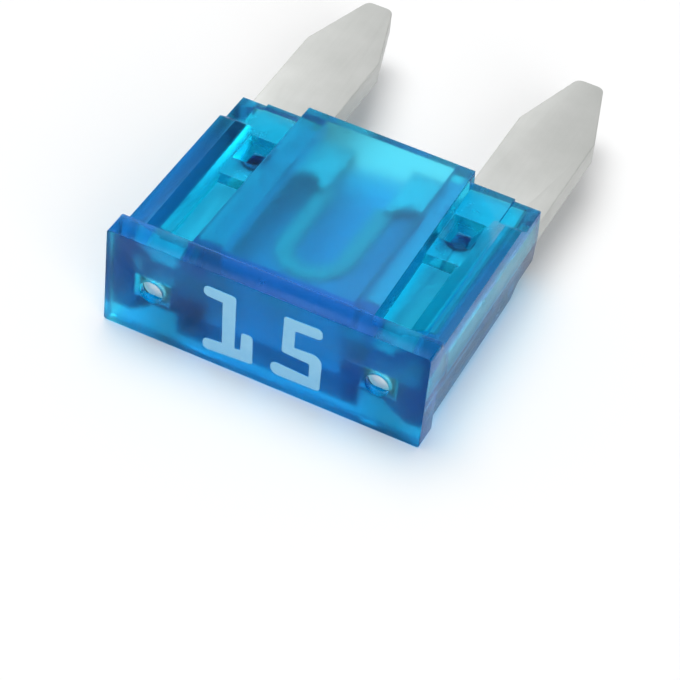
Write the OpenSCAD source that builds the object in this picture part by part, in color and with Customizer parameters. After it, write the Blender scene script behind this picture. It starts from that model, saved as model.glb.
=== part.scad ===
// Miniature automotive blade fuse: a moulded transparent housing that is
// staked onto one stamped zinc element, whose two blades stand out of it.
// It lies on its broad face. +X runs across the blades, +Y towards their tips, +Z up.
// The origin is at the middle of its footprint, on the surface that it lies on.
// Inside the modules, y is counted from the head's face and z from the mid-plane.

/* [Overall] */
// Length from the head's face to the blade tips
fuse_len = 16.3; // [15.5:0.1:18]

/* [Head] */
// Width of the head flange, which sets all the other places across the fuse
head_w = 10.9; // [10.4:0.1:13]
// Thickness of the head flange, which is the whole fuse's thickness
head_t = 3.7; // [3.6:0.05:4.2]
// Depth of the head flange along the fuse
head_len = 0.9; // [0.7:0.05:1.1]
// Radius on the head's four long corners
head_corner_r = 0.1; // [0.05:0.05:0.3]
// Diameter of the two test holes in the head's face
probe_d = 0.8; // [0.6:0.05:0.85]
// Distance from the head's side to a test hole's axis
probe_inset = 1.6; // [1.5:0.05:1.7]
// Thickness of the wall that the test holes pass through
probe_wall = 0.25; // [0.2:0.05:0.5]

/* [Body] */
// Length of the housing, with its head
housing_len = 8.7; // [8.4:0.1:9.5]
// How far the head stands out past the body on each side
head_overhang = 0.02; // [0.01:0.01:0.1]
// Width lost on each side of the body between the head and the blade end
end_taper = 0.08; // [0:0.01:0.15]
// Width lost on each side between the parting line and the rails' faces
side_draft = 0.06; // [0.02:0.01:0.1]
// Thickness over the side rails
rail_t = 2.9; // [2.7:0.05:3.1]
// Width of a rail's face beside the head
rail_w = 0.7; // [0.6:0.05:0.8]
// Width of the slope from a rail's face down to the shoulder
rail_slope_w = 0.55; // [0.35:0.05:0.6]
// Distance from the head's face to where the rails step down
rail_len = 7.05; // [6.8:0.05:7.3]
// Length of the slope at the rails' step
rail_step_len = 0.5; // [0.3:0.05:0.7]
// Thickness over the rails' low ends
rail_end_t = 2.1; // [2:0.05:2.2]
// Thickness over the shoulders, which cover the blades
shoulder_t = 2.3; // [2.25:0.05:2.5]
// Thickness over the windows in the shoulders, beside the head
window_t = 1.9; // [1.7:0.05:2.1]
// Distance from the head's face to the windows' far end
window_end_y = 4.65; // [4.2:0.05:4.8]
// Length of the slope at the windows' far end
window_slope_len = 0.25; // [0.1:0.05:0.3]
// Thickness over the raised middle
plateau_t = 3.3; // [3.2:0.05:3.5]
// Width lost on each side of the raised middle between the head and the blade end
plateau_taper = 0.15; // [0:0.05:0.2]
// Width lost on each side between the parting line and the raised middle's faces
plateau_draft = 0.09; // [0.03:0.01:0.12]

/* [Inside of the housing] */
// Height of the chamber round the fusible link
chamber_t = 2.1; // [1.9:0.05:2.2]
// Thickness of the raised middle's wall beside that chamber
chamber_side_wall = 0.85; // [0.7:0.05:0.9]
// How far the chamber stops short of the blades' inner edges
chamber_lap = 0.05; // [0:0.05:0.2]
// Thickness of the wall between the head's face and the chamber
chamber_wall = 1.5; // [1.3:0.05:1.7]
// Thickness of the wall between the head's face and the blade slots
slot_wall = 1.9; // [1.7:0.05:2.1]
// Distance from the head's face to the stakes
stake_y = 6.4; // [6.1:0.05:6.6]
// Distance from the body's side at the blade end to a stake's axis
stake_inset = 1.75; // [1.65:0.05:1.85]
// Diameter of the stake that passes through each blade
stake_d = 0.9; // [0.7:0.05:1]
// Width of the pit that the staking tool leaves, at the shoulder's face
pit_w = 1.1; // [0.9:0.05:1.2]
// Length of that pit, at the shoulder's face
pit_len = 1.3; // [1.1:0.05:1.4]
// Depth of that pit
pit_depth = 0.4; // [0.2:0.05:0.45]
// Width of the slopes all round the pit, from its mouth to its floor
pit_slope = 0.3; // [0.1:0.05:0.35]

/* [Element] */
// Thickness of the stamped strip
blade_t = 0.8; // [0.7:0.05:0.85]
// Width of a blade
blade_w = 2.7; // [2.6:0.05:2.8]
// Distance from the body's side at the blade end to a blade's outer edge
blade_inset = 0.06; // [0.04:0.01:0.1]
// Length of a blade's tapered end
tip_len = 2.9; // [2.4:0.1:3.2]
// Width of a blade's end
tip_w = 1.1; // [0.9:0.05:1.3]
// Radius on the corners of a blade's end
tip_r = 0.3; // [0.2:0.05:0.4]
// Width of a blade inside the housing
neck_w = 2.45; // [2.35:0.05:2.5]
// Distance from the body's side at the blade end to a blade's edge inside the housing
neck_inset = 0.6; // [0.55:0.05:0.7]
// Width of the tab that carries each blade to its test hole
tab_w = 1.1; // [1:0.05:1.2]
// Width of the slot between a blade and the link
relief_w = 1; // [0.9:0.05:1.1]
// Width of the fusible link
link_w = 0.6; // [0.4:0.05:0.7]
// Thickness of the fusible link, milled thinner than the blades
link_t = 0.3; // [0.2:0.05:0.4]
// Distance from the head's face to the far side of the link's bend
link_end_y = 2.3; // [2:0.05:2.8]
// Distance from the head's face to the slots' round ends beside the link
relief_y = 6.7; // [6.4:0.05:7]
// Distance from the head's face to the bridges' edge at the blade end
bridge_y = 8.4; // [8:0.05:8.5]
// How far the bridges' inner edges stand back from the link's inner edges
bridge_step = 0.3; // [0.1:0.05:0.4]

/* [Fits] */
// Room above and below the strip in its slots
face_clearance = 0.04; // [0.02:0.01:0.08]
// Room beside and before the strip in its slots
edge_clearance = 0.08; // [0.05:0.01:0.12]
// Room round each stake in its blade
stake_clearance = 0.05; // [0.03:0.01:0.08]
// Room between the blades' shoulders and the housing's end
seat_clearance = 0.05; // [0.03:0.01:0.1]

/* [Hidden] */
$fn = 48;
// Steps in a rounded corner's quarter circle
corner_steps = 6;
// How far a cut runs past the face that it leaves, and a joined piece into its neighbour
over = 0.2;
// How far the rails' slopes run on below the shoulders' faces
rail_sink = 0.06;
body_w = head_w - 2 * head_overhang;
body_end_w = body_w - 2 * end_taper;
rail_inner_x = head_w / 2 - rail_w;
rail_foot_x = rail_inner_x - rail_slope_w;
blade_outer_x = body_end_w / 2 - blade_inset;
blade_inner_x = blade_outer_x - blade_w;
blade_x = (blade_outer_x + blade_inner_x) / 2;
neck_outer_x = body_end_w / 2 - neck_inset;
neck_inner_x = neck_outer_x - neck_w;
link_outer_x = neck_inner_x - relief_w;
relief_r = relief_w / 2;
relief_x = neck_inner_x - relief_r;
probe_x = head_w / 2 - probe_inset;
stake_x = body_end_w / 2 - stake_inset;
chamber_w = 2 * (neck_inner_x - chamber_lap);
plateau_w = chamber_w + 2 * chamber_side_wall;
slot_w = 2 * (neck_outer_x + edge_clearance);
slot_t = blade_t + 2 * face_clearance;
stake_hole_d = stake_d + 2 * stake_clearance;

function arc(x, y, r, from, to) =
    [for (i = [0:corner_steps])
        let (a = from + (to - from) * i / corner_steps)
            [x + r * cos(a), y + r * sin(a)]];

function rectangle(w, h) =
    [[-w / 2, -h / 2], [w / 2, -h / 2], [w / 2, h / 2], [-w / 2, h / 2]];

function rounded_rectangle(w, h, r) = concat(
    arc(w / 2 - r, h / 2 - r, r, 0, 90),
    arc(r - w / 2, h / 2 - r, r, 90, 180),
    arc(r - w / 2, r - h / 2, r, 180, 270),
    arc(w / 2 - r, r - h / 2, r, 270, 360));

// Half width of the body at the parting line, at a distance from the head's face
function body_half_w(y) =
    (body_w + (body_end_w - body_w) * (y - head_len) / (housing_len - head_len)) / 2;

// Section of the right-hand rail at y, t thick, drafted both ways from the parting line
function rail_section(y, t) =
    let (
        face = t / 2,
        slope = 2 * rail_slope_w / (rail_t - shoulder_t),
        low = min(face, shoulder_t / 2 - rail_sink),
        deep = window_t / 2 - over,
        foot_x = rail_foot_x - slope * rail_sink,
        wide = body_half_w(y),
        narrow = wide - side_draft * t / rail_t)
    [[foot_x, -deep], [foot_x, -low], [rail_inner_x, -face], [narrow, -face], [wide, 0],
     [narrow, face], [rail_inner_x, face], [foot_x, low], [foot_x, deep]];

// Section of the raised middle, w wide over its faces, drafted from the parting line
function plateau_section(w) =
    let (
        face = plateau_t / 2,
        narrow = w / 2,
        wide = narrow + plateau_draft)
    [[-wide, 0], [-narrow, -face], [narrow, -face], [wide, 0], [narrow, face], [-narrow, face]];

// A solid through sections that lie across the fuse, each given as [y, points]
module loft(stations) {
    n = len(stations[0][1]);
    last = len(stations) - 1;
    points = [for (s = stations) for (p = s[1]) [p[0], s[0], p[1]]];
    sides = [for (k = [0:last - 1]) for (i = [0:n - 1])
        [k * n + i, k * n + (i + 1) % n, (k + 1) * n + (i + 1) % n, (k + 1) * n + i]];
    near_end = [for (i = [0:n - 1]) n - 1 - i];
    far_end = [for (i = [0:n - 1]) last * n + i];
    polyhedron(points, concat([near_end, far_end], sides));
}

module mirrored_x() {
    children();
    mirror([1, 0, 0]) children();
}

// A block centred on x and on the mid-plane, from y0 to y1
module block(w, y0, y1, t) {
    translate([-w / 2, y0, -t / 2]) cube([w, y1 - y0, t]);
}

// Puts what is counted from the head's face and the mid-plane into the fuse's frame
module in_frame() {
    translate([0, -fuse_len / 2, head_t / 2]) children();
}

module head() {
    translate([0, head_len, 0]) rotate([90, 0, 0])
        linear_extrude(head_len)
            polygon(rounded_rectangle(head_w, head_t, head_corner_r));
}

module plateau() {
    loft([
        [head_len - over, plateau_section(plateau_w)],
        [housing_len, plateau_section(plateau_w - 2 * plateau_taper)]]);
}

// The slabs over the blades, thinner at their windows than at their staked ends
module shoulders() {
    w = 2 * (rail_foot_x + over);
    loft([
        [head_len - over, rectangle(w, window_t)],
        [window_end_y, rectangle(w, window_t)],
        [window_end_y + window_slope_len, rectangle(w, shoulder_t)],
        [housing_len, rectangle(w, shoulder_t)]]);
}

module rails() {
    low = rail_len + rail_step_len;
    mirrored_x()
        loft([
            [head_len - over, rail_section(head_len, rail_t)],
            [rail_len, rail_section(rail_len, rail_t)],
            [low, rail_section(low, rail_end_t)],
            [housing_len, rail_section(housing_len, rail_end_t)]]);
}

module link_chamber() {
    block(chamber_w, chamber_wall, housing_len + over, chamber_t);
}

// The slot for both blades, with a pocket for each blade's tab
module blade_slots() {
    block(slot_w, slot_wall, housing_len + over, slot_t);
    mirrored_x()
        translate([probe_x, 0, 0])
            block(tab_w + 2 * edge_clearance, probe_wall, slot_wall + over, slot_t);
}

module test_holes() {
    mirrored_x()
        translate([probe_x, probe_wall + over, 0])
            rotate([90, 0, 0])
                cylinder(d = probe_d, h = probe_wall + 2 * over);
}

// One pit, open upwards, with its mouth at the shoulder's face
module staking_pit() {
    mouth = shoulder_t / 2;
    translate([stake_x, stake_y, 0])
        rotate([90, 0, 0])
            loft([
                [mouth - pit_depth, rectangle(pit_w - 2 * pit_slope, pit_len - 2 * pit_slope)],
                [mouth, rectangle(pit_w, pit_len)],
                [mouth + over, rectangle(pit_w, pit_len)]]);
}

module staking_pits() {
    mirrored_x() {
        staking_pit();
        mirror([0, 0, 1]) staking_pit();
    }
}

module stakes() {
    mirrored_x()
        translate([stake_x, stake_y, -slot_t / 2 - face_clearance])
            cylinder(d = stake_d, h = slot_t + 2 * face_clearance);
}

module housing() {
    color("royalblue")
        in_frame() {
            difference() {
                union() {
                    head();
                    plateau();
                    shoulders();
                    rails();
                }
                link_chamber();
                blade_slots();
                test_holes();
                staking_pits();
            }
            stakes();
        }
}

// One blade's outline, from its tab at the test hole to its rounded tip
function blade_outline() =
    let (
        tab_end = probe_wall + edge_clearance,
        neck_end = slot_wall + edge_clearance,
        seat = housing_len + seat_clearance,
        corner_x = tip_w / 2 - tip_r)
    concat(
        [[neck_inner_x, neck_end],
         [probe_x - tab_w / 2, neck_end],
         [probe_x - tab_w / 2, tab_end],
         [probe_x + tab_w / 2, tab_end],
         [probe_x + tab_w / 2, neck_end],
         [neck_outer_x, neck_end],
         [neck_outer_x, seat],
         [blade_outer_x, seat],
         [blade_outer_x, fuse_len - tip_len]],
        arc(blade_x + corner_x, fuse_len - tip_r, tip_r, 20, 90),
        arc(blade_x - corner_x, fuse_len - tip_r, tip_r, 90, 160),
        [[blade_inner_x, fuse_len - tip_len],
         [blade_inner_x, relief_y],
         [neck_inner_x, relief_y]]);

module blade() {
    difference() {
        translate([0, 0, -blade_t / 2])
            linear_extrude(blade_t) polygon(blade_outline());
        translate([stake_x, stake_y, -blade_t])
            cylinder(d = stake_hole_d, h = 2 * blade_t);
    }
}

// The bridge from a blade to the link's leg, with the slot's round end cut into it
module bridge() {
    inner_x = link_outer_x - link_w + bridge_step;
    difference() {
        translate([inner_x, relief_y - relief_r, -blade_t / 2])
            cube([blade_inner_x + over - inner_x, bridge_y - relief_y + relief_r, blade_t]);
        translate([relief_x, relief_y - relief_r, -blade_t])
            cylinder(r = relief_r, h = 2 * blade_t);
    }
}

module link() {
    bend_y = link_end_y + link_outer_x;
    inner_r = link_outer_x - link_w;
    leg_end_y = relief_y - relief_r + over;
    translate([0, 0, -link_t / 2]) {
        mirrored_x()
            translate([inner_r, bend_y, 0])
                cube([link_w, leg_end_y - bend_y, link_t]);
        difference() {
            translate([0, bend_y, 0]) cylinder(r = link_outer_x, h = link_t);
            translate([0, bend_y, -link_t]) cylinder(r = inner_r, h = 3 * link_t);
            translate([-head_w, bend_y, -link_t]) cube([2 * head_w, fuse_len, 3 * link_t]);
        }
    }
}

module fuse_element() {
    color("lightgray")
        in_frame() {
            mirrored_x() {
                blade();
                bridge();
            }
            link();
        }
}

housing();
fuse_element();
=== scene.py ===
"""Dresses the blade fuse: a clear blue housing, a tinned zinc element and its printed rating.

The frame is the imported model, in metres: +X runs across the two blades, +Y towards their
tips and +Z up from the table. Sizes in this file are millimetres, and MM turns them into
metres where a mesh, a lamp or a pattern is made.
"""

import logging
from dataclasses import dataclass, field
from enum import Enum
from math import radians
from typing import Any

import bmesh
import bpy
import numpy as np
from mathutils import Matrix, Vector


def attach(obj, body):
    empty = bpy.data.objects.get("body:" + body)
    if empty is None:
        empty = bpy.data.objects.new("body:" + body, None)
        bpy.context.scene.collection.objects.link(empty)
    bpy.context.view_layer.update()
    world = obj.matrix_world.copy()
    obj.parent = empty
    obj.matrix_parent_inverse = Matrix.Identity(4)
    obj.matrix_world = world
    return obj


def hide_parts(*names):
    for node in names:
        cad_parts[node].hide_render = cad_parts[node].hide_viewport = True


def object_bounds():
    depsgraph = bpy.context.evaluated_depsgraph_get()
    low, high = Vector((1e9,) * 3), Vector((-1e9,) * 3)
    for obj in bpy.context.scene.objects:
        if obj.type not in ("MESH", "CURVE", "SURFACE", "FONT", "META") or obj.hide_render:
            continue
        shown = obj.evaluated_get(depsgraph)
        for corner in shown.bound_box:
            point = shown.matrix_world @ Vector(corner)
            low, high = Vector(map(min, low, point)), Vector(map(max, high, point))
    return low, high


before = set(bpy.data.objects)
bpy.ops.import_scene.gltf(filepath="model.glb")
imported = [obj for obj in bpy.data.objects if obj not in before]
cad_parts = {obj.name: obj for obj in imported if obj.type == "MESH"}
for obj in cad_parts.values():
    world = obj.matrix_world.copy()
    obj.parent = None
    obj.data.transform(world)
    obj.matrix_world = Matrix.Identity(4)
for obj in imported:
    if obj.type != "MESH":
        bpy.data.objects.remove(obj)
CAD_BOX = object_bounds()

MM = 0.001
PER_MM = 1000.0

# The plane of the head's face, the fuse's mid-height and how far the print stands out.
HEAD_FACE_Y = CAD_BOX[0][1] * PER_MM
MIDDLE_Z = (CAD_BOX[0][2] + CAD_BOX[1][2]) / 2 * PER_MM
PRINT_RELIEF = 0.01
log = logging.getLogger("blade_fuse")


def linear(hex_colour: str) -> tuple[float, float, float, float]:
    """Turns an sRGB hex colour into linear light.

    Formula: each channel c becomes c / 12.92 below 0.04045, and
    ((c + 0.055) / 1.055) to the power 2.4 above it.

    Args:
        hex_colour: six hex digits, with or without a leading hash sign.

    Returns:
        Red, green, blue and an opaque alpha.
    """
    digits = hex_colour.lstrip("#")
    srgb = np.array([int(digits[i:i + 2], 16) for i in (0, 2, 4)]) / 255.0
    light = np.where(srgb <= 0.04045, srgb / 12.92, ((srgb + 0.055) / 1.055) ** 2.4)
    return (*(float(c) for c in light), 1.0)


def add_node(
    tree: bpy.types.NodeTree,
    kind: str,
    settings: dict[str, Any] | None = None,
    sockets: dict[str | int, Any] | None = None,
) -> bpy.types.Node:
    """Adds one shader node, sets it and links it.

    Args:
        tree: the tree that gets the node.
        kind: the node's type, without its leading "ShaderNode".
        settings: the node's own properties, by name.
        sockets: its inputs, by name or place, each a plain value or another node's output.

    Returns:
        The new node.
    """
    node = tree.nodes.new("ShaderNode" + kind)
    for name, value in (settings or {}).items():
        setattr(node, name, value)
    for name, value in (sockets or {}).items():
        if isinstance(value, bpy.types.NodeSocket):
            tree.links.new(value, node.inputs[name])
        else:
            node.inputs[name].default_value = value
    return node


def new_material(name: str) -> tuple[bpy.types.Material, bpy.types.NodeTree, bpy.types.Node]:
    """Starts a material that holds only its output.

    Args:
        name: the material's name.

    Returns:
        The material, its node tree and its output node.
    """
    material = bpy.data.materials.new(name)
    material.use_nodes = True
    tree = material.node_tree
    tree.nodes.clear()
    return material, tree, add_node(tree, "OutputMaterial")


@dataclass(frozen=True)
class FusePlace:
    """The place of a shaded point on the fuse, as node outputs in metres."""

    tree: bpy.types.NodeTree
    point: bpy.types.NodeSocket
    across: bpy.types.NodeSocket
    along: bpy.types.NodeSocket
    up: bpy.types.NodeSocket

    @classmethod
    def on(cls, tree: bpy.types.NodeTree) -> "FusePlace":
        """Adds the nodes that read the place.

        Formula: across is the distance from the plane between the blades, the absolute
        value of x, so that both halves of the fuse read the same.

        Args:
            tree: the tree that gets the nodes.

        Returns:
            The place, with its parts.
        """
        point = add_node(tree, "TexCoord").outputs["Object"]
        parts = add_node(tree, "SeparateXYZ", sockets={0: point})
        across = add_node(tree, "Math", {"operation": "ABSOLUTE"}, {0: parts.outputs["X"]})
        return cls(
            tree, point, across.outputs["Value"], parts.outputs["Y"], parts.outputs["Z"])

    def distance(self, spot: tuple[float, ...]) -> bpy.types.NodeSocket:
        """Adds nodes that give the distance to a spot on either half of the fuse.

        Formula: the length of the difference between the spot and the point, whose x
        counts as its absolute value. A spot without a height counts in plan only.

        Args:
            spot: its place across and along the fuse, and its height if that counts.

        Returns:
            The output that holds the distance, in metres.
        """
        parts = dict(zip("XYZ", (self.across, self.along, self.up)[:len(spot)]))
        folded = add_node(self.tree, "CombineXYZ", sockets=parts)
        target = [*spot, 0.0][:3]
        return add_node(self.tree, "VectorMath", {"operation": "DISTANCE"}, {
            0: folded.outputs["Vector"],
            1: tuple(c * MM for c in target)}).outputs["Value"]

    def below(
        self, length: bpy.types.NodeSocket, limit: float, blend: float,
    ) -> bpy.types.NodeSocket:
        """Adds a node that gives 1 where a length is below a limit, and 0 well above it.

        Args:
            length: the output that holds the length, in metres.
            limit: the limit in millimetres.
            blend: the width in millimetres, above the limit, over which the 1 falls to 0.

        Returns:
            The output that holds that number.
        """
        return add_node(self.tree, "MapRange", sockets={
            "Value": length, "From Min": (limit + blend) * MM,
            "From Max": limit * MM}).outputs["Result"]

    def noise(self, grain: float, detail: float, roughness: float = 0.5) -> bpy.types.NodeSocket:
        """Adds a noise pattern that is fixed to the piece.

        Args:
            grain: the size of its largest spots in millimetres.
            detail: the number of finer layers over them.
            roughness: how strongly the finer layers show.

        Returns:
            The output that holds the pattern, from 0 to 1.
        """
        return add_node(self.tree, "TexNoise", sockets={
            "Vector": self.point, "Scale": PER_MM / grain, "Detail": detail,
            "Roughness": roughness}).outputs["Fac"]


@dataclass(frozen=True)
class ClearPolycarbonate:
    """Tinted clear polycarbonate, injection moulded.

    To the eye: see-through and softly glossy, with a blue that deepens with its thickness
    and faint flow ripples. The tool's finer texture on the head's face and on the broad
    tops softens what shows behind them, and painted shade makes the plastic a little
    darker round the stakes, in their pits.
    """

    name: str = "blue_polycarbonate"
    ior: float = 1.585
    tint: str = "#60f4fb"
    tint_per_mm: float = 3.0
    passed: str = "#a8d8e8"
    sheen: str = "#5070a0"
    skin: str = "#c0f6ff"
    ripple: float = 1.6
    ripple_height: float = 0.006

    roughness: float = 0.2
    smudged_roughness: float = 0.3
    smudge: float = 0.9
    smudge_range: tuple[float, float] = (0.4, 0.75)
    face_roughness: float = 0.39
    face_y: float = HEAD_FACE_Y + PRINT_RELIEF
    top_roughness: float = 0.28
    tops_from_middle: tuple[float, ...] = (1.65, 0.95)
    plane_tolerance: float = 0.003

    # Painted shade: the stake pits' shade, laid into the plastic's surface colour.
    painted_pit_shade: str = "#98b4d4"
    stake: tuple[float, float] = (3.6, -1.75)
    pit_shade_core: float = 0.45
    pit_shade_fade: float = 0.35
    pit_shade_grain: float = 0.6
    pit_shade_wander: float = 0.7

    def material(self) -> bpy.types.Material:
        """Builds the material: a clear surface over a volume that absorbs all but blue.

        The lamps' light passes the surface unbent, so that it reaches the metal and the
        table through the plastic.

        Returns:
            The material.
        """
        material, tree, output = new_material(self.name)
        place = FusePlace.on(tree)
        bump = add_node(tree, "Bump", sockets={
            "Height": place.noise(self.ripple, detail=2.0), "Strength": 1.0,
            "Distance": self.ripple_height * MM})
        surface = add_node(tree, "BsdfPrincipled", sockets={
            "Base Color": self.skin_tone(place), "IOR": self.ior,
            "Specular Tint": linear(self.sheen), "Transmission Weight": 1.0,
            "Roughness": self.texture(place), "Normal": bump.outputs["Normal"]})
        inside = add_node(tree, "VolumeAbsorption", sockets={
            "Color": linear(self.tint), "Density": self.tint_per_mm * PER_MM})
        passing = add_node(tree, "BsdfTransparent", sockets={"Color": linear(self.passed)})
        face = add_node(tree, "MixShader", sockets={
            0: add_node(tree, "LightPath").outputs["Is Shadow Ray"],
            1: surface.outputs["BSDF"], 2: passing.outputs["BSDF"]})
        tree.links.new(face.outputs["Shader"], output.inputs["Surface"])
        tree.links.new(inside.outputs["Volume"], output.inputs["Volume"])
        return material

    def texture(self, place: FusePlace) -> bpy.types.NodeSocket:
        """Adds the roughness: smudged gloss, and finer texture on the face and the tops.

        Args:
            place: the place of the shaded point.

        Returns:
            The output that holds the roughness.
        """
        smudged_from, smudged_to = self.smudge_range
        rough = add_node(place.tree, "MapRange", sockets={
            "Value": place.noise(self.smudge, detail=5.0, roughness=0.6),
            "From Min": smudged_from, "From Max": smudged_to,
            "To Min": self.roughness, "To Max": self.smudged_roughness})
        above = add_node(place.tree, "Math", {"operation": "SUBTRACT"}, {
            0: place.up, 1: MIDDLE_Z * MM})
        from_middle = add_node(place.tree, "Math", {"operation": "ABSOLUTE"}, {
            0: above.outputs["Value"]}).outputs["Value"]
        planes = [(place.along, self.face_y, self.face_roughness)]
        planes += [(from_middle, top, self.top_roughness) for top in self.tops_from_middle]
        for length, plane, roughness in planes:
            on_plane = add_node(place.tree, "Math", {"operation": "COMPARE"}, {
                0: length, 1: plane * MM, 2: self.plane_tolerance * MM})
            rough = add_node(place.tree, "MapRange", sockets={
                "Value": on_plane.outputs["Value"],
                "To Min": rough.outputs["Result"], "To Max": roughness})
        return rough.outputs["Result"]

    def skin_tone(self, place: FusePlace) -> bpy.types.NodeSocket:
        """Adds the surface's own tone, with ragged patches of painted shade round the stakes.

        Formula: a noise pattern, taken about its middle value, is added to the distance
        from the stake before the patch is cut off at its radius.

        Args:
            place: the place of the shaded point.

        Returns:
            The output that holds the colour.
        """
        ragged = add_node(place.tree, "Math", {"operation": "MULTIPLY_ADD"}, {
            0: place.noise(self.pit_shade_grain, detail=2.0), 1: self.pit_shade_wander * MM,
            2: place.distance(self.stake)}).outputs["Value"]
        patch = place.below(
            ragged, self.pit_shade_core + self.pit_shade_wander / 2, self.pit_shade_fade)
        return add_node(place.tree, "MixRGB", sockets={
            "Fac": patch, "Color1": linear(self.skin),
            "Color2": linear(self.painted_pit_shade)}).outputs["Color"]


@dataclass(frozen=True)
class TinnedZinc:
    """Zinc alloy strip, rolled, tin plated and stamped.

    To the eye: a matt light grey metal with faint rolling lines along the strip, a little
    cloudy. The link is painted darker, as painted shade, and so are the tabs' ends down in
    the test holes, but for a painted highlight, a bright round spot on each tab's end.
    """

    name: str = "tinned_zinc"
    clear: str = "#cbccca"
    cloudy: str = "#b8bab7"
    cloud: float = 1.3

    # Real rolling lines are a tenth as wide and wouldn't show.
    line_width: float = 0.12
    line_depth: float = 0.004
    line_relief: float = 0.5
    scale_along_lines: float = 0.06
    least_roughness: float = 0.54
    most_roughness: float = 0.68

    # Painted shade: the link is painted darker than the rest of the strip.
    painted_link_shade: str = "#a4a9a7"
    link_half_width: float = 1.6
    link_before_y: float = -1.95
    # Painted shade on the tabs' ends, down in the test holes.
    painted_hole_shade: str = "#6a6f72"
    hole_shade_before_y: float = -7.8
    # A painted highlight: a bright round spot on each tab's end.
    painted_highlight: str = "#f4f6f6"
    highlight_spot: tuple[float, float, float] = (3.85, -7.82, MIDDLE_Z)
    highlight_radius: float = 0.42
    blend: float = 0.02

    def material(self) -> bpy.types.Material:
        """Builds the material: metal with rolling lines that run along the blades.

        Returns:
            The material.
        """
        material, tree, output = new_material(self.name)
        place = FusePlace.on(tree)
        drawn_out = add_node(tree, "Mapping", sockets={
            "Vector": place.point, "Scale": (1.0, self.scale_along_lines, 1.0)})
        lines = add_node(tree, "TexNoise", sockets={
            "Vector": drawn_out.outputs["Vector"], "Scale": PER_MM / self.line_width,
            "Detail": 3.0}).outputs["Fac"]
        rough = add_node(tree, "MapRange", sockets={
            "Value": lines, "To Min": self.least_roughness, "To Max": self.most_roughness})
        bump = add_node(tree, "Bump", sockets={
            "Height": lines, "Strength": self.line_relief, "Distance": self.line_depth * MM})
        surface = add_node(tree, "BsdfPrincipled", sockets={
            "Base Color": self.tone(place), "Metallic": 1.0,
            "Roughness": rough.outputs["Result"], "Normal": bump.outputs["Normal"]})
        tree.links.new(surface.outputs["BSDF"], output.inputs["Surface"])
        return material

    def tone(self, place: FusePlace) -> bpy.types.NodeSocket:
        """Adds the metal's colour: clouded plating, with painted shade and a painted highlight
        over it.

        Args:
            place: the place of the shaded point.

        Returns:
            The output that holds the colour.
        """
        link = add_node(place.tree, "Math", {"operation": "MULTIPLY"}, {
            0: place.below(place.across, self.link_half_width, self.blend),
            1: place.below(place.along, self.link_before_y, self.blend)}).outputs["Value"]
        shaded_tab_end = place.below(place.along, self.hole_shade_before_y, self.blend)
        painted_spot = place.below(
            place.distance(self.highlight_spot), self.highlight_radius, self.blend)
        tone: Any = linear(self.clear)
        # Clouded plating first, then painted shade on the link and the tabs' ends, then the
        # painted highlight.
        for share, colour in (
                (place.noise(self.cloud, detail=4.0), self.cloudy), (link, self.painted_link_shade),
                (shaded_tab_end, self.painted_hole_shade), (painted_spot, self.painted_highlight)):
            tone = add_node(place.tree, "MixRGB", sockets={
                "Fac": share, "Color1": tone, "Color2": linear(colour)}).outputs["Color"]
        return tone


@dataclass(frozen=True)
class StampedInk:
    """Pale ink, hot stamped on the head's face.

    To the eye: a satin, nearly opaque pale blue with a slightly uneven tone.
    """

    name: str = "pale_blue_ink"
    full: str = "#98d2f2"
    thin: str = "#7ac0e8"
    cover: float = 0.5
    roughness: float = 0.5

    def material(self) -> bpy.types.Material:
        """Builds the material: satin ink with uneven cover.

        Returns:
            The material.
        """
        material, tree, output = new_material(self.name)
        colour = add_node(tree, "MixRGB", sockets={
            "Fac": FusePlace.on(tree).noise(self.cover, detail=4.0),
            "Color1": linear(self.full), "Color2": linear(self.thin)})
        surface = add_node(tree, "BsdfPrincipled", sockets={
            "Base Color": colour.outputs["Color"], "Roughness": self.roughness})
        tree.links.new(surface.outputs["BSDF"], output.inputs["Surface"])
        return material


@dataclass(frozen=True)
class WhiteTable:
    """A matt white table top, which shows the fuse's shadow and tinted light."""

    name: str = "white_table"
    colour: str = "#f2f2f2"
    lift_through: float = 0.1

    def material(self) -> bpy.types.Material:
        """Builds the material: matt white, a little lifted where it shows through plastic.

        Returns:
            The material.
        """
        material, tree, output = new_material(self.name)
        strength = add_node(tree, "Math", {"operation": "MULTIPLY"}, {
            0: add_node(tree, "LightPath").outputs["Is Transmission Ray"],
            1: self.lift_through})
        matt = add_node(tree, "BsdfDiffuse", sockets={"Color": linear(self.colour)})
        glow = add_node(tree, "Emission", sockets={
            "Color": (1.0, 1.0, 1.0, 1.0), "Strength": strength.outputs["Value"]})
        both = add_node(tree, "AddShader", sockets={
            0: matt.outputs["BSDF"], 1: glow.outputs["Emission"]})
        tree.links.new(both.outputs["Shader"], output.inputs["Surface"])
        return material


def seen_rays(tree: bpy.types.NodeTree) -> bpy.types.NodeSocket:
    """Adds nodes that give 1 to rays that show a thing and 0 to rays that only light one.

    Formula: the largest of Is Camera Ray, Is Glossy Ray and Is Transmission Ray.

    Args:
        tree: the tree that gets the nodes.

    Returns:
        The output that holds that number.
    """
    path = add_node(tree, "LightPath")
    first = add_node(tree, "Math", {"operation": "MAXIMUM"}, {
        0: path.outputs["Is Camera Ray"], 1: path.outputs["Is Glossy Ray"]})
    both = add_node(tree, "Math", {"operation": "MAXIMUM"}, {
        0: first.outputs["Value"], 1: path.outputs["Is Transmission Ray"]})
    return both.outputs["Value"]


def link_mesh(name: str, mesh: bpy.types.Mesh, material: bpy.types.Material) -> bpy.types.Object:
    """Puts a finished mesh into the scene.

    Args:
        name: the piece's name.
        mesh: its mesh, in metres in the fuse's frame.
        material: its finish.

    Returns:
        The new object, at the origin.
    """
    mesh.name = name
    mesh.materials.clear()
    mesh.materials.append(material)
    piece = bpy.data.objects.new(name, mesh)
    bpy.context.scene.collection.objects.link(piece)
    return piece


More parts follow.
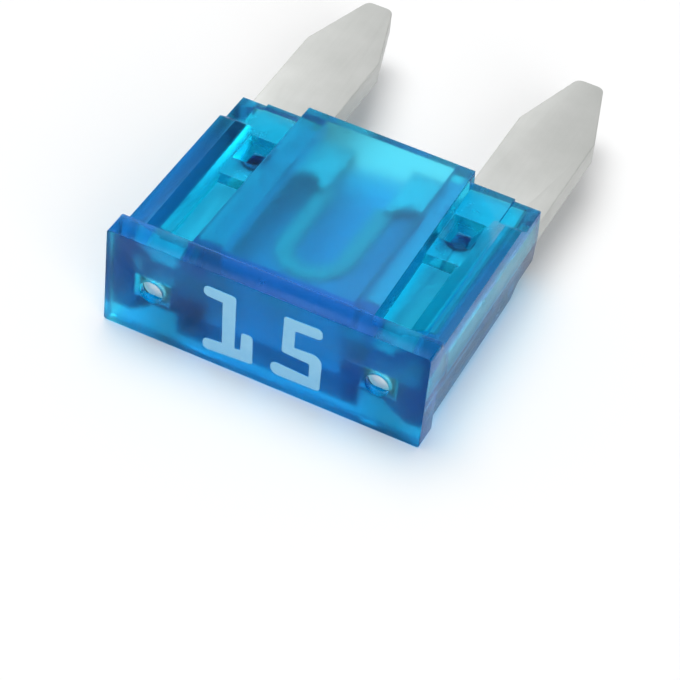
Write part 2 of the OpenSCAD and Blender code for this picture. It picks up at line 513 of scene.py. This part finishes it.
@dataclass(frozen=True)
class BrokenEdge:
    """The small radius that a tool leaves along every sharp edge of a solid.

    Args:
        radius: the edge radius in millimetres.
        sharp_from_deg: the least angle between two faces that makes an edge sharp.
        strips: the number of strips across a rounded edge.
        weld: the distance in millimetres within which a mesh's points are joined.
        flat_within_deg: the angle below which two faces count as one flat face.
    """

    radius: float
    sharp_from_deg: float
    strips: int = 3
    weld: float = 0.0005
    flat_within_deg: float = 0.2

    def merged_copy(self, node: str) -> bpy.types.Mesh:
        """Copies a node's mesh, joins its loose triangles and clears flat faces of cuts.

        Args:
            node: the CAD node's name.

        Returns:
            The copy, closed, with its normals outwards.
        """
        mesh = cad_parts[node].data.copy()
        form = bmesh.new()
        form.from_mesh(mesh)
        bmesh.ops.remove_doubles(form, verts=form.verts, dist=self.weld * MM)
        bmesh.ops.dissolve_limit(
            form, angle_limit=radians(self.flat_within_deg),
            verts=form.verts, edges=form.edges)
        bmesh.ops.recalc_face_normals(form, faces=form.faces)
        form.to_mesh(mesh)
        form.free()
        return mesh

    def round(self, piece: bpy.types.Object) -> None:
        """Rounds a piece's sharp edges and shades it smooth.

        Args:
            piece: the object to round.
        """
        bevel = piece.modifiers.new("edge radius", "BEVEL")
        bevel.width = self.radius * MM
        bevel.segments = self.strips
        bevel.limit_method = "ANGLE"
        bevel.angle_limit = radians(self.sharp_from_deg)
        bevel.harden_normals = True
        piece.data.shade_smooth()


@dataclass
class MouldedHousing:
    """The housing: one moulding, with the tool's small edge radius all round."""

    finish: ClearPolycarbonate = field(default_factory=ClearPolycarbonate)
    edge: BrokenEdge = BrokenEdge(radius=0.06, sharp_from_deg=20.0)

    def build(self) -> bpy.types.Object:
        """Makes the housing from the CAD solid, with rounded edges.

        Returns:
            The piece.
        """
        mesh = self.edge.merged_copy("housing")
        self.sink_face(mesh)
        piece = link_mesh("clear_housing", mesh, self.finish.material())
        self.edge.round(piece)
        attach(piece, "root")
        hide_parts("housing")
        return piece

    def sink_face(self, mesh: bpy.types.Mesh) -> None:
        """Moves the head's face back by the small depth that the print stands out of it.

        Args:
            mesh: the housing's mesh, which is changed.
        """
        points = np.empty(3 * len(mesh.vertices))
        mesh.vertices.foreach_get("co", points)
        along = points[1::3]
        along[along < along.min() + PRINT_RELIEF * MM] += PRINT_RELIEF * MM
        mesh.vertices.foreach_set("co", points)


@dataclass
class StampedElement:
    """The element: one stamped strip, with its edges broken by the die."""

    finish: TinnedZinc = field(default_factory=TinnedZinc)
    edge: BrokenEdge = BrokenEdge(radius=0.05, sharp_from_deg=30.0)

    def build(self) -> bpy.types.Object:
        """Makes the element from the CAD solid, with broken edges.

        Returns:
            The piece.
        """
        piece = link_mesh(
            "zinc_element", self.edge.merged_copy("fuse_element"), self.finish.material())
        self.edge.round(piece)
        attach(piece, "root")
        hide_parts("fuse_element")
        return piece


class Digit(Enum):
    """A digit of the rating, as the corners of its outline on the head's face.

    Each corner is given by its place across the fuse, its height over the table and its
    radius, in millimetres, counter-clockwise as the face is seen.
    """

    ONE = (
        (-1.98, 0.50, 0.18), (-0.26, 0.62, 0.08), (-0.32, 1.76, 0.12), (-0.70, 1.74, 0.10),
        (-0.70, 1.02, 0.03), (-0.90, 0.98, 0.03), (-0.96, 3.07, 0.12), (-2.06, 3.09, 0.17),
        (-2.06, 2.70, 0.17), (-1.40, 2.66, 0.03), (-1.33, 1.00, 0.03), (-1.98, 0.94, 0.18))
    FIVE = (
        (0.35, 0.62, 0.26), (2.03, 0.64, 0.12), (2.02, 2.07, 0.34), (1.07, 2.01, 0.03),
        (1.06, 2.70, 0.04), (1.97, 2.74, 0.16), (1.94, 3.15, 0.18), (0.66, 3.12, 0.08),
        (0.67, 1.66, 0.10), (1.62, 1.60, 0.08), (1.64, 1.05, 0.05), (0.35, 1.13, 0.18))

    def outline(self, steps: int) -> np.ndarray:
        """Rounds the corners.

        Formula: with t the angle between a corner's two edges, its arc of radius r starts
        r / tan(t / 2) away from the corner on both edges, and its centre lies
        r / sin(t / 2) away on their bisector. Between its ends the arc turns by pi - t,
        and each spoke is the blend of the end spokes by sines.

        Args:
            steps: the number of straight pieces in each arc.

        Returns:
            The outline's points, across and up, in millimetres.
        """
        places, radii = np.split(np.array(self.value), [2], axis=1)
        to_before, to_after = (
            step / np.linalg.norm(step, axis=1, keepdims=True)
            for step in (np.roll(places, 1, axis=0) - places,
                         np.roll(places, -1, axis=0) - places))
        between = np.arccos(np.sum(to_before * to_after, axis=1, keepdims=True))
        reach = radii / np.tan(between / 2)
        middle = to_before + to_after
        middle /= np.linalg.norm(middle, axis=1, keepdims=True)
        centre = (places + middle * radii / np.sin(between / 2))[:, None]
        first = places[:, None] + (to_before * reach)[:, None] - centre
        last = places[:, None] + (to_after * reach)[:, None] - centre
        turn = np.pi - between[:, None]
        share = np.linspace(0.0, 1.0, steps + 1)[None, :, None]
        spokes = (first * np.sin((1 - share) * turn) + last * np.sin(share * turn)) / np.sin(turn)
        return (centre + spokes).reshape(-1, 2)


@dataclass
class StampedRating:
    """The rating: two digits of ink, pressed a little way into the head's face."""

    finish: StampedInk = field(default_factory=StampedInk)
    digits: tuple[Digit, ...] = (Digit.ONE, Digit.FIVE)
    face_y: float = HEAD_FACE_Y
    film: float = 0.03
    corner_steps: int = 5

    def build(self) -> bpy.types.Object:
        """Makes each digit as a thin plate with its front in the plane of the head's face.

        Returns:
            The piece.
        """
        points: list[np.ndarray] = []
        faces: list[list[int]] = []
        start = 0
        for digit in self.digits:
            outline = digit.outline(self.corner_steps)
            count = len(outline)
            for y in (self.face_y, self.face_y + self.film):
                points.append(np.column_stack((outline[:, 0], np.full(count, y), outline[:, 1])))
            front = np.arange(start, start + count)
            following = np.roll(front, -1)
            faces += [front.tolist(), (front[::-1] + count).tolist()]
            faces += np.column_stack(
                (front, front + count, following + count, following)).tolist()
            start += 2 * count
        mesh = bpy.data.meshes.new("rating_print")
        mesh.from_pydata((np.concatenate(points) * MM).tolist(), [], faces)
        piece = link_mesh("rating_print", mesh, self.finish.material())
        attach(piece, "root")
        return piece


def direction(azimuth_deg: float, elevation_deg: float) -> Vector:
    """Gives the direction from the fuse to a camera or a lamp.

    Formula: across is sin(azimuth) cos(elevation), along is minus cos(azimuth)
    cos(elevation) and up is sin(elevation).

    Args:
        azimuth_deg: the angle counted from -Y towards +X.
        elevation_deg: the angle above the table.

    Returns:
        The direction, with a length of 1.
    """
    azimuth, elevation = radians(azimuth_deg), radians(elevation_deg)
    return Vector((
        np.sin(azimuth) * np.cos(elevation),
        -np.cos(azimuth) * np.cos(elevation),
        np.sin(elevation)))


@dataclass(frozen=True)
class Viewpoint:
    """Where the camera stands, what its axis passes through and how it is tilted."""

    aim: tuple[float, float, float] = (2.045, -6.965, MIDDLE_Z)
    azimuth_deg: float = 21.83
    elevation_deg: float = 43.87
    roll_deg: float = 6.60
    distance: float = 85.51
    focal: float = 149.56
    sensor: float = 36.0
    sees_from: float = 1.0
    sees_to: float = 10000.0

    def place(self) -> bpy.types.Object:
        """Makes the camera.

        Formula: the axis points back from the aim along the direction, and the roll then
        turns the picture about the axis.

        Returns:
            The scene's camera.
        """
        back = direction(self.azimuth_deg, self.elevation_deg)
        level = Vector((0.0, 0.0, 1.0)).cross(back).normalized()
        lifted = back.cross(level)
        roll = radians(self.roll_deg)
        right = level * np.cos(roll) + lifted * np.sin(roll)
        up = back.cross(right)
        camera = bpy.data.objects.new("camera", bpy.data.cameras.new("camera"))
        place = Vector(self.aim) * MM + back * (self.distance * MM)
        turn = Matrix((right, up, back)).transposed().to_4x4()
        camera.matrix_world = Matrix.Translation(place) @ turn
        camera.data.lens = self.focal
        camera.data.sensor_width = self.sensor
        camera.data.clip_start = self.sees_from * MM
        camera.data.clip_end = self.sees_to * MM
        bpy.context.scene.collection.objects.link(camera)
        bpy.context.scene.camera = camera
        return camera


@dataclass(frozen=True)
class Softbox:
    """One square studio lamp with a white cloth front."""

    name: str
    azimuth_deg: float
    elevation_deg: float
    distance: float
    side: float
    level: float

    def place(self) -> bpy.types.Object:
        """Makes the lamp, aimed at the fuse's middle.

        Formula: its power is level times pi squared times the distance squared, so that a
        white surface that faces it reads about that level.

        Returns:
            The lamp.
        """
        away = direction(self.azimuth_deg, self.elevation_deg)
        lamp = bpy.data.lights.new(self.name, "AREA")
        lamp.shape = "SQUARE"
        lamp.size = self.side * MM
        lamp.energy = self.level * np.pi ** 2 * (self.distance * MM) ** 2
        box = bpy.data.objects.new(self.name, lamp)
        turn = away.to_track_quat("Z", "Y").to_matrix().to_4x4()
        box.matrix_world = Matrix.Translation(away * (self.distance * MM)) @ turn
        bpy.context.scene.collection.objects.link(box)
        return box


@dataclass
class Studio:
    """The table, the white surround and the lamps.

    The surround is white up to backdrop_top and falls to the ceiling's level at
    ceiling_from, both given as the height of a direction whose length is 1.
    """

    table: WhiteTable = field(default_factory=WhiteTable)
    table_side: float = 4000.0
    table_gap: float = 0.02
    surround_level: float = 0.3
    ceiling_level: float = 0.3
    backdrop_top: float = 0.25
    ceiling_from: float = 0.6
    lamps: tuple[Softbox, ...] = (
        Softbox("top_softbox", azimuth_deg=230.0, elevation_deg=75.0,
                distance=400.0, side=300.0, level=0.82),
        Softbox("front_fill", azimuth_deg=45.0, elevation_deg=30.0,
                distance=400.0, side=250.0, level=0.4),
    )

    def build(self) -> None:
        """Makes the table, the surround and the lamps."""
        half = self.table_side / 2
        top = -self.table_gap
        corners = MM * np.array([
            [-half, -half, top], [half, -half, top], [half, half, top], [-half, half, top]])
        mesh = bpy.data.meshes.new("table")
        mesh.from_pydata(corners.tolist(), [], [(0, 1, 2, 3)])
        link_mesh("table", mesh, self.table.material())
        for lamp in self.lamps:
            lamp.place()
        self.surround()

    def surround(self) -> None:
        """Makes the world plain white where it is seen, and soft light elsewhere."""
        world = bpy.data.worlds.new("white_surround")
        bpy.context.scene.world = world
        world.use_nodes = True
        tree = world.node_tree
        tree.nodes.clear()
        backdrop = add_node(tree, "MapRange", sockets={
            "Value": seen_rays(tree), "To Min": self.surround_level, "To Max": 1.0})
        outwards = add_node(tree, "TexCoord").outputs["Generated"]
        height = add_node(tree, "SeparateXYZ", sockets={0: outwards}).outputs["Z"]
        level = add_node(tree, "MapRange", {"interpolation_type": "SMOOTHSTEP"}, {
            "Value": height, "From Min": self.backdrop_top, "From Max": self.ceiling_from,
            "To Min": backdrop.outputs["Result"], "To Max": self.ceiling_level})
        white = add_node(tree, "Background", sockets={
            "Color": (1.0, 1.0, 1.0, 1.0), "Strength": level.outputs["Result"]})
        output = add_node(tree, "OutputWorld")
        tree.links.new(white.outputs["Background"], output.inputs["Surface"])


def set_light_paths(bounces: int = 32, clear_bounces: int = 24) -> None:
    """Lets light cross the plastic's many inner walls, and keeps the plain view transform.

    Args:
        bounces: the most turns that a path of light takes.
        clear_bounces: the most of them that mirror it, and the most that pass it through.
    """
    scene = bpy.context.scene
    scene.view_settings.view_transform = "Standard"
    scene.cycles.max_bounces = bounces
    scene.cycles.transmission_bounces = clear_bounces
    scene.cycles.glossy_bounces = clear_bounces


def main() -> None:
    """Builds the camera, the studio and the fuse's pieces in order, and reports each piece."""
    logging.basicConfig(level=logging.INFO, format="%(name)s: %(message)s")
    set_light_paths()
    Viewpoint().place()
    Studio().build()
    for assembly in (MouldedHousing(), StampedElement(), StampedRating()):
        piece = assembly.build()
        log.info("%s: %d faces before its modifiers", piece.name, len(piece.data.polygons))


if __name__ == "__main__":
    main()
